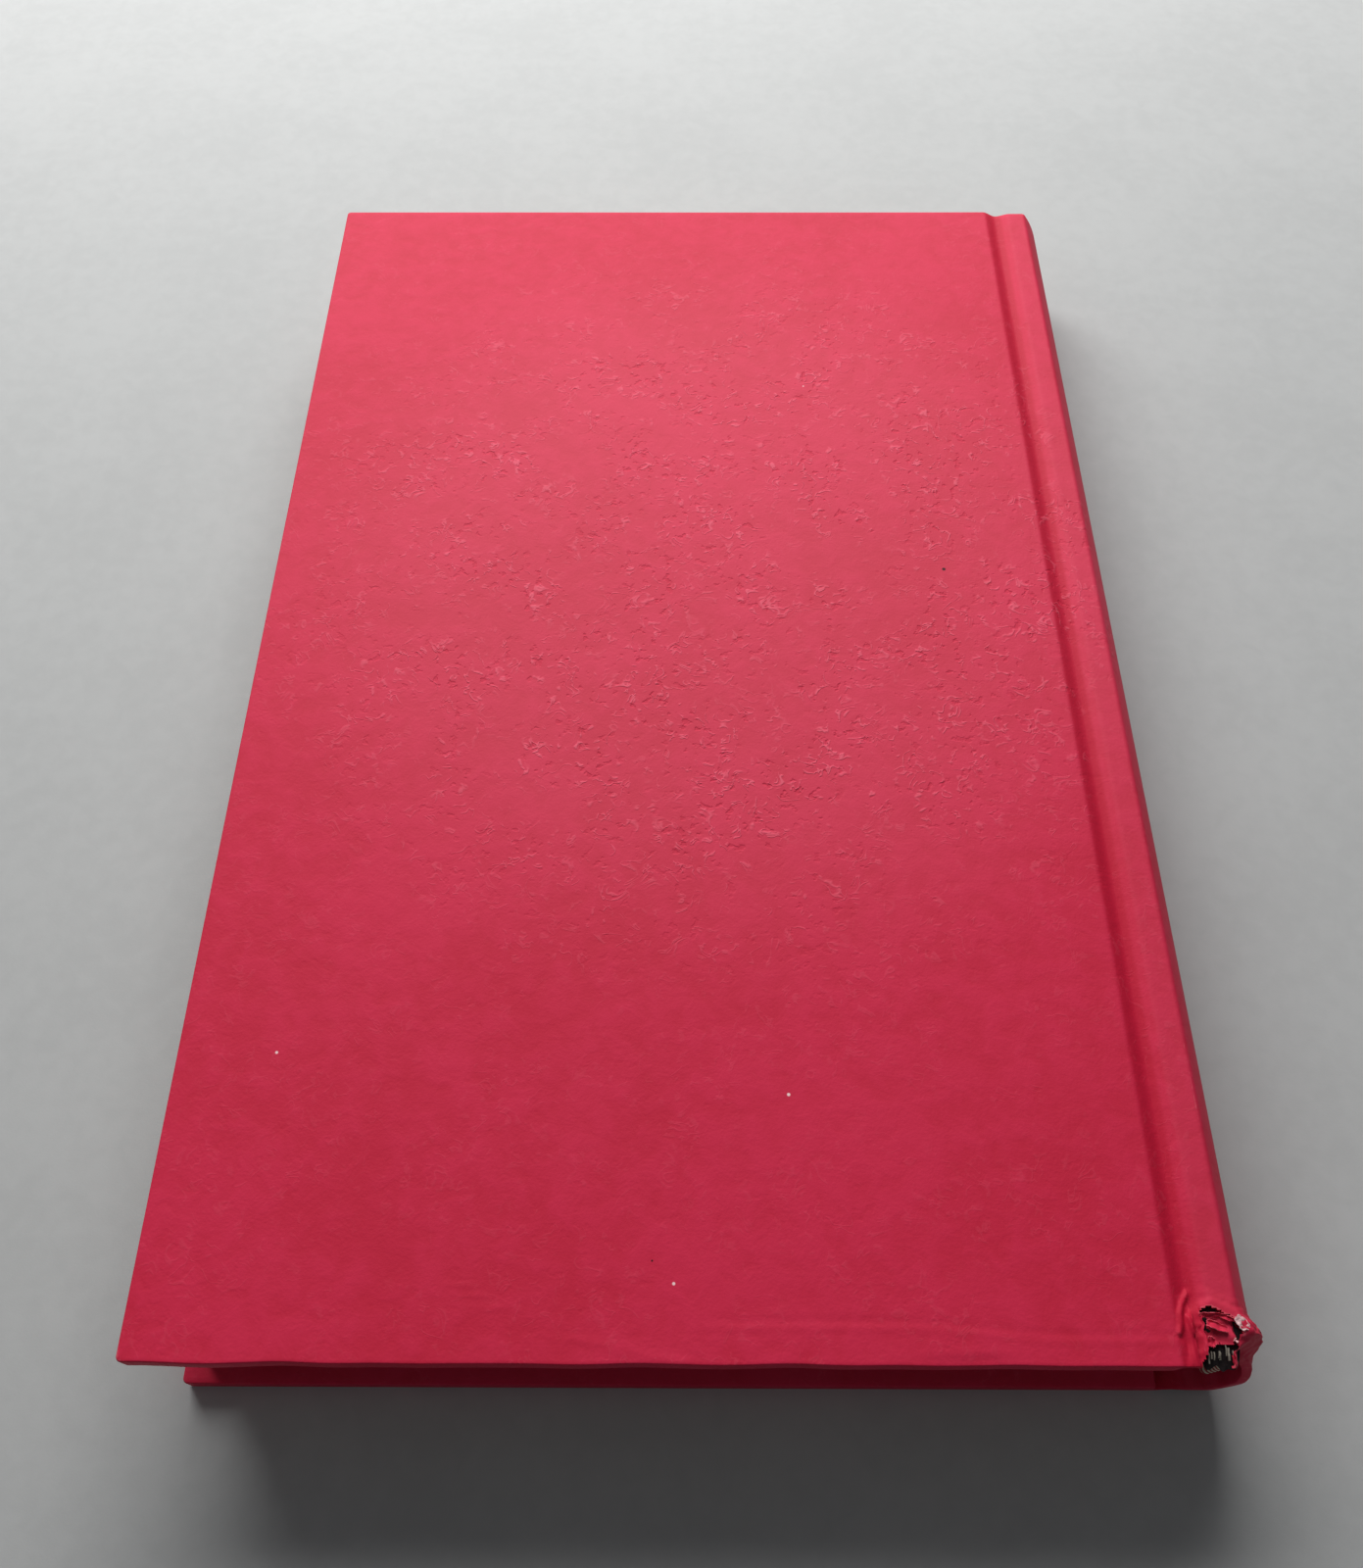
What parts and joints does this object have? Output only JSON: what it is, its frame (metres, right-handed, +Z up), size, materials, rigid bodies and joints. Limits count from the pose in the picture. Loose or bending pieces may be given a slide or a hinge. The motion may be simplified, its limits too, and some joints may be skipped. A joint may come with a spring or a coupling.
{
  "type": "hardback book",
  "caption": "Case-bound hardback book with a rounded spine, joint grooves, hinged covers and a torn spine tail.",
  "frame": {"origin": "middle of the book's outline, on the surface that the closed book lies on", "axes": "+X from the fore edge to the spine, +Y from tail to head, +Z up out of the back cover"},
  "size_m": [0.1448, 0.222, 0.022],
  "materials": {
    "covering_paper": "uncoated, matte",
    "greyboard": "matte",
    "endpaper": "matte",
    "page_paper": "matte, cut edges",
    "band_thread": "woven bead",
    "gauze": "open weave",
    "kraft_paper": "matte"
  },
  "bodies": {
    "pages": {"text_block": "page_paper", "back_flyleaf": "endpaper", "front_flyleaf": "endpaper", "headband": "band_thread", "tailband": "band_thread", "mull": "gauze", "spine_lining": "kraft_paper", "spine_inlay": "greyboard", "spine_covering": "covering_paper"},
    "back_cover": {"back_board": "greyboard", "back_covering": "covering_paper", "back_pastedown": "endpaper"},
    "front_cover": {"front_board": "greyboard", "front_covering": "covering_paper", "front_pastedown": "endpaper"}
  },
  "joints": [
    {"name": "back_cover_hinge", "type": "hinge", "parent": "pages", "child": "back_cover", "pos_m": [0.06125, 0, 0.022], "axis": [0, 1, 0], "range_deg": [0, 180]},
    {"name": "front_cover_hinge", "type": "hinge", "parent": "pages", "child": "front_cover", "pos_m": [0.06365, 0, 0], "axis": [0, -1, 0], "range_deg": [0, 180]}
  ]
}
